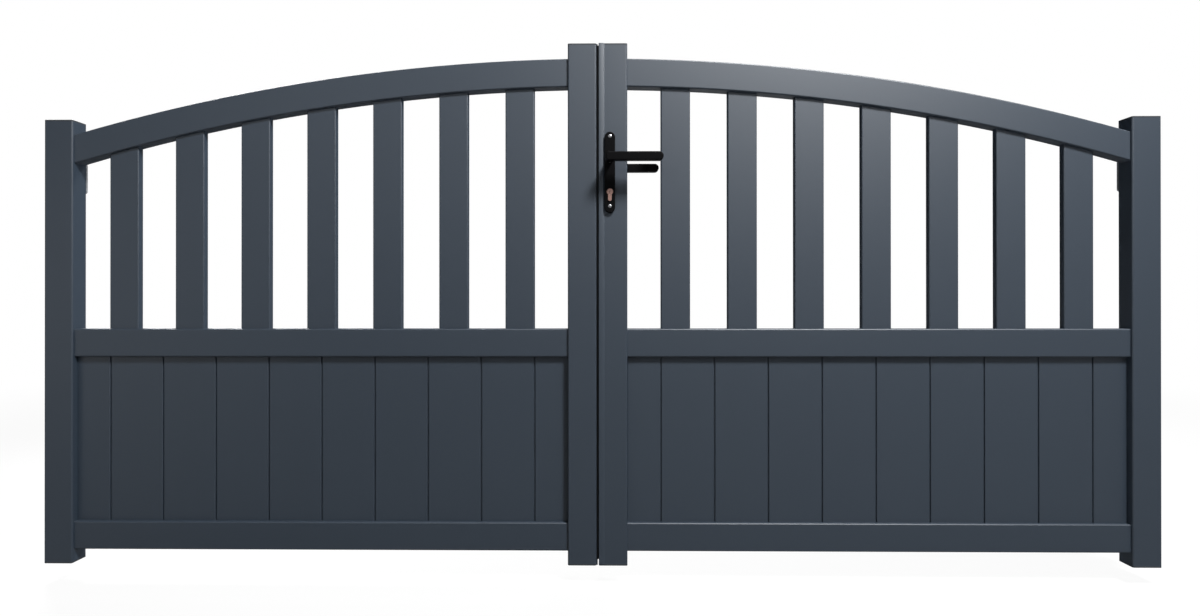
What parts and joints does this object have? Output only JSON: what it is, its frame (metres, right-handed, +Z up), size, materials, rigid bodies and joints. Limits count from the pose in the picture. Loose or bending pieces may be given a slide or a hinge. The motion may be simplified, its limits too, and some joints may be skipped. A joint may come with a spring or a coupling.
{
  "type": "double swing gate",
  "caption": "Double swing gate with arched top rails, flat slats over boarded lower panels, lever handle, mortise lock, drop bolt and pillar hinges.",
  "frame": {"origin": "middle of the gap between the closed leaves, middle of the stile depth, underside of the stiles", "axes": "+X to the right seen from the street, +Y from the street into the property, the way the leaves open, +Z up"},
  "size_m": [3.04, 0.176, 1.4],
  "materials": {
    "powder_coat": "satin",
    "cap_plastic": "matte",
    "zinc_steel": "satin",
    "stainless": "satin",
    "bronze": "satin",
    "black_coat": "satin",
    "cylinder_brass": "satin",
    "rubber": "matte"
  },
  "bodies": {
    "pillar_side": {"left_pillar_brackets": "zinc_steel", "left_hinge_pins": "stainless", "right_pillar_brackets": "zinc_steel", "right_hinge_pins": "stainless"},
    "left_leaf": {"left_outer_stile": "powder_coat", "left_meeting_stile": "powder_coat", "left_arch_rail": "powder_coat", "left_mid_rail": "powder_coat", "left_bottom_rail": "powder_coat", "left_slat_1": "powder_coat", "left_slat_2": "powder_coat", "left_slat_3": "powder_coat", "left_slat_4": "powder_coat", "left_slat_5": "powder_coat", "left_slat_6": "powder_coat", "left_slat_7": "powder_coat", "left_boards": "powder_coat", "left_stile_caps": "cap_plastic", "left_rail_connectors": "zinc_steel", "left_hinge_straps": "zinc_steel", "left_hinge_bushes": "bronze", "left_hinge_bolts": "stainless", "keeper_plate": "stainless", "seal_carrier": "powder_coat", "gap_seal": "rubber", "drop_bolt_guides": "zinc_steel"},
    "right_leaf": {"right_outer_stile": "powder_coat", "right_meeting_stile": "powder_coat", "right_arch_rail": "powder_coat", "right_mid_rail": "powder_coat", "right_bottom_rail": "powder_coat", "right_slat_1": "powder_coat", "right_slat_2": "powder_coat", "right_slat_3": "powder_coat", "right_slat_4": "powder_coat", "right_slat_5": "powder_coat", "right_slat_6": "powder_coat", "right_slat_7": "powder_coat", "right_boards": "powder_coat", "right_stile_caps": "cap_plastic", "right_rail_connectors": "zinc_steel", "right_hinge_straps": "zinc_steel", "right_hinge_bushes": "bronze", "right_hinge_bolts": "stainless", "front_backplate": "black_coat", "rear_backplate": "black_coat", "backplate_screws": "stainless", "lock_case": "zinc_steel", "lock_forend": "stainless", "cylinder_body": "cylinder_brass", "meeting_strip": "powder_coat"},
    "lever_set": {"front_lever": "black_coat", "rear_lever": "black_coat", "lever_spindle": "stainless", "lock_follower": "zinc_steel"},
    "latch": {"latch_bolt": "stainless"},
    "dead_bolt": {"dead_bolt": "stainless"},
    "cylinder_plug": {"cylinder_plug": "cylinder_brass"},
    "drop_bolt": {"drop_bolt_rod": "zinc_steel"}
  },
  "joints": [
    {"name": "left_swing", "type": "hinge", "parent": "pillar_side", "child": "left_leaf", "pos_m": [-1.5, 0.045, 0.6], "axis": [0, 0, 1], "range_deg": [0, 95]},
    {"name": "right_swing", "type": "hinge", "parent": "pillar_side", "child": "right_leaf", "pos_m": [1.5, 0.045, 0.6], "axis": [0, 0, -1], "range_deg": [0, 95]},
    {"name": "lever_turn", "type": "hinge", "parent": "right_leaf", "child": "lever_set", "pos_m": [0.033, 0, 1.085], "axis": [0, 1, 0], "range_deg": [0, 40], "stiffness_Nm_per_rad": 1.2, "springref_deg": -25.78},
    {"name": "latch_slide", "type": "slide", "parent": "right_leaf", "child": "latch", "axis": [1, 0, 0], "range_m": [0, 0.012]},
    {"name": "cylinder_turn", "type": "hinge", "parent": "right_leaf", "child": "cylinder_plug", "pos_m": [0.033, 0, 1], "axis": [0, 1, 0], "range_deg": [0, 360]},
    {"name": "dead_bolt_throw", "type": "slide", "parent": "right_leaf", "child": "dead_bolt", "axis": [-1, 0, 0], "range_m": [0, 0.018]},
    {"name": "drop_bolt_slide", "type": "slide", "parent": "left_leaf", "child": "drop_bolt", "axis": [0, 0, -1], "range_m": [0, 0.06]}
  ],
  "couplings": [
    {"joint": "latch_slide", "follows": "lever_turn", "m_per_rad": 0.01718},
    {"joint": "cylinder_turn", "follows": "dead_bolt_throw", "rad_per_m": 349.03}
  ]
}
